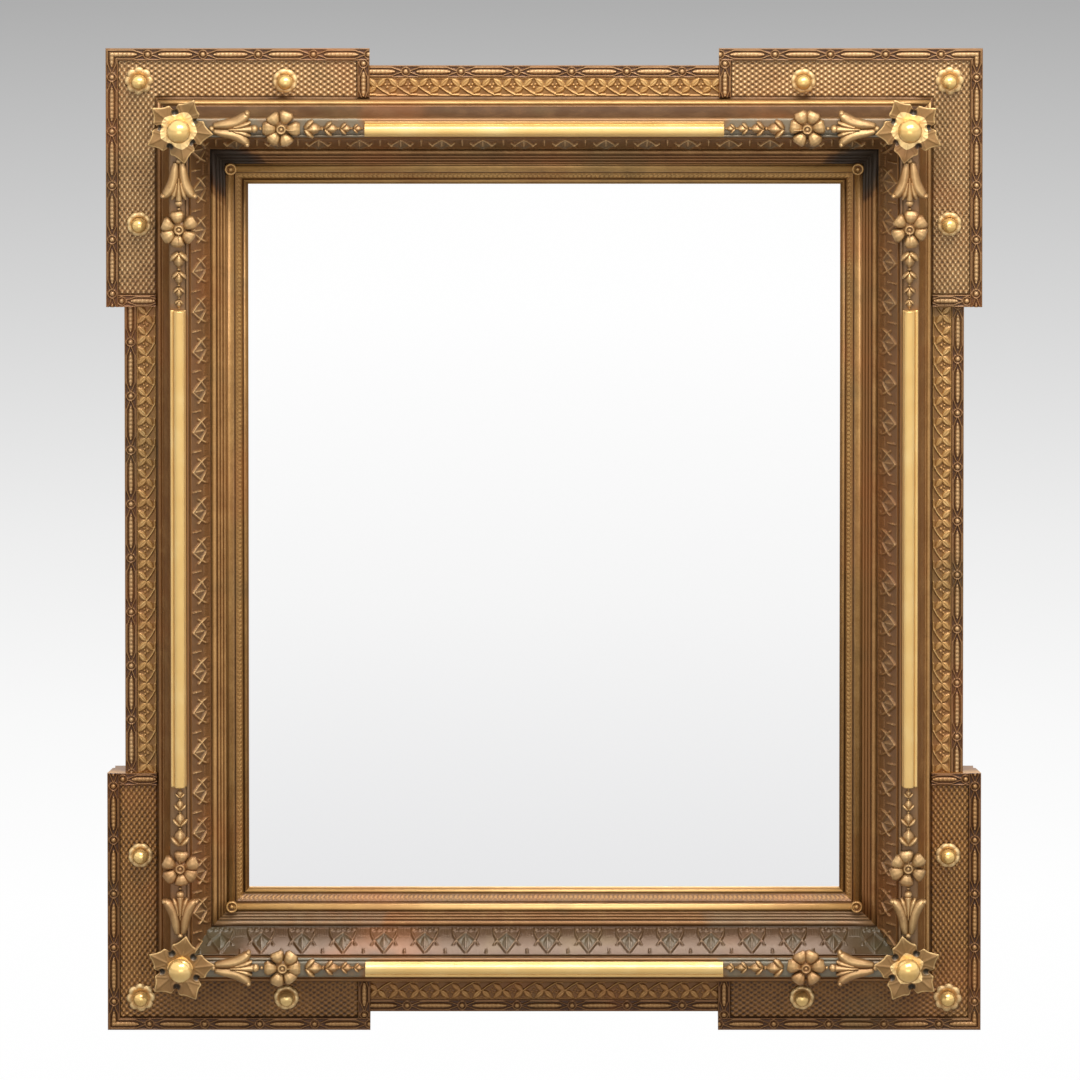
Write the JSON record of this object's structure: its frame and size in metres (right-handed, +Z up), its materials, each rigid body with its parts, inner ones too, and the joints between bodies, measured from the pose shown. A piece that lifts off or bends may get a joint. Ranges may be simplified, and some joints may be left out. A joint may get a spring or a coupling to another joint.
{
  "type": "framed wall mirror",
  "caption": "Upright wall mirror in an eared, gilded picture frame with a deep moulding, laid-on leaves and flowers, and hanging rings.",
  "frame": {"origin": "middle of the frame on the plane of the wall, which the backs of the rails and ears touch", "axes": "+X to the right and +Z up as one looks at the mirror, which faces -Y; the wall is on the +Y side"},
  "size_m": [0.914, 0.1089, 1.048],
  "materials": {
    "ear_diaper": "bronzed gilding, fine woven relief",
    "bronzed_wood": "bronzed gilding, worn to the red ground on edges",
    "slip_gilding": "old gilding, satin",
    "burnished_gold": "burnished gold leaf",
    "composition_relief": "pressed composition, bronzed",
    "composition_edging": "pressed composition, bronzed",
    "composition_vine": "pressed composition, gilded",
    "leaf_gilding": "pressed composition, gilded",
    "composition_flowers": "pressed composition, bronzed",
    "mirror_silver": "silvered plate glass",
    "back_pine": "bare aged pine",
    "dark_steel": "darkened steel",
    "hanger_brass": "dull brass"
  },
  "bodies": {
    "frame": {"ear_top_left": "ear_diaper", "ear_top_right": "ear_diaper", "ear_bottom_left": "ear_diaper", "ear_bottom_right": "ear_diaper", "rail_top": "bronzed_wood", "rail_bottom": "bronzed_wood", "rail_left": "bronzed_wood", "rail_right": "bronzed_wood", "moulding_top": "bronzed_wood", "moulding_bottom": "bronzed_wood", "moulding_left": "bronzed_wood", "moulding_right": "bronzed_wood", "slip_top": "slip_gilding", "slip_bottom": "slip_gilding", "slip_left": "slip_gilding", "slip_right": "slip_gilding", "gilt_round_top": "burnished_gold", "gilt_round_bottom": "burnished_gold", "gilt_round_left": "burnished_gold", "gilt_round_right": "burnished_gold", "corner_balls": "burnished_gold", "stud_balls": "burnished_gold", "slope_band_top": "composition_relief", "slope_band_bottom": "composition_relief", "slope_band_left": "composition_relief", "slope_band_right": "composition_relief", "ear_edging_top_left": "composition_edging", "ear_edging_top_right": "composition_edging", "ear_edging_bottom_left": "composition_edging", "ear_edging_bottom_right": "composition_edging", "rail_edging_top": "composition_edging", "rail_edging_bottom": "composition_edging", "rail_edging_left": "composition_edging", "rail_edging_right": "composition_edging", "vine_band_top": "composition_vine", "vine_band_bottom": "composition_vine", "vine_band_left": "composition_vine", "vine_band_right": "composition_vine", "corner_leaf_top_left": "leaf_gilding", "corner_leaf_top_right": "leaf_gilding", "corner_leaf_bottom_left": "leaf_gilding", "corner_leaf_bottom_right": "leaf_gilding", "stud_flowers": "leaf_gilding", "calyxes": "composition_flowers", "flowers": "composition_flowers", "husks": "composition_flowers", "slip_buttons": "composition_flowers", "mirror_plate": "mirror_silver", "back_board_left": "back_pine", "back_board_middle": "back_pine", "back_board_right": "back_pine", "plate_blocks": "back_pine", "back_screws": "dark_steel", "hanger_screws": "dark_steel", "hanger_plate_left": "hanger_brass", "hanger_plate_right": "hanger_brass"},
    "ring_left": {"hanger_ring_left": "hanger_brass"},
    "ring_right": {"hanger_ring_right": "hanger_brass"}
  },
  "joints": [
    {"name": "left_ring_swing", "type": "hinge", "parent": "frame", "child": "ring_left", "pos_m": [-0.3778, -0.0051, 0.23], "axis": [1, 0, 0], "range_deg": [0, 180]},
    {"name": "right_ring_swing", "type": "hinge", "parent": "frame", "child": "ring_right", "pos_m": [0.3778, -0.0051, 0.23], "axis": [1, 0, 0], "range_deg": [0, 180]}
  ]
}
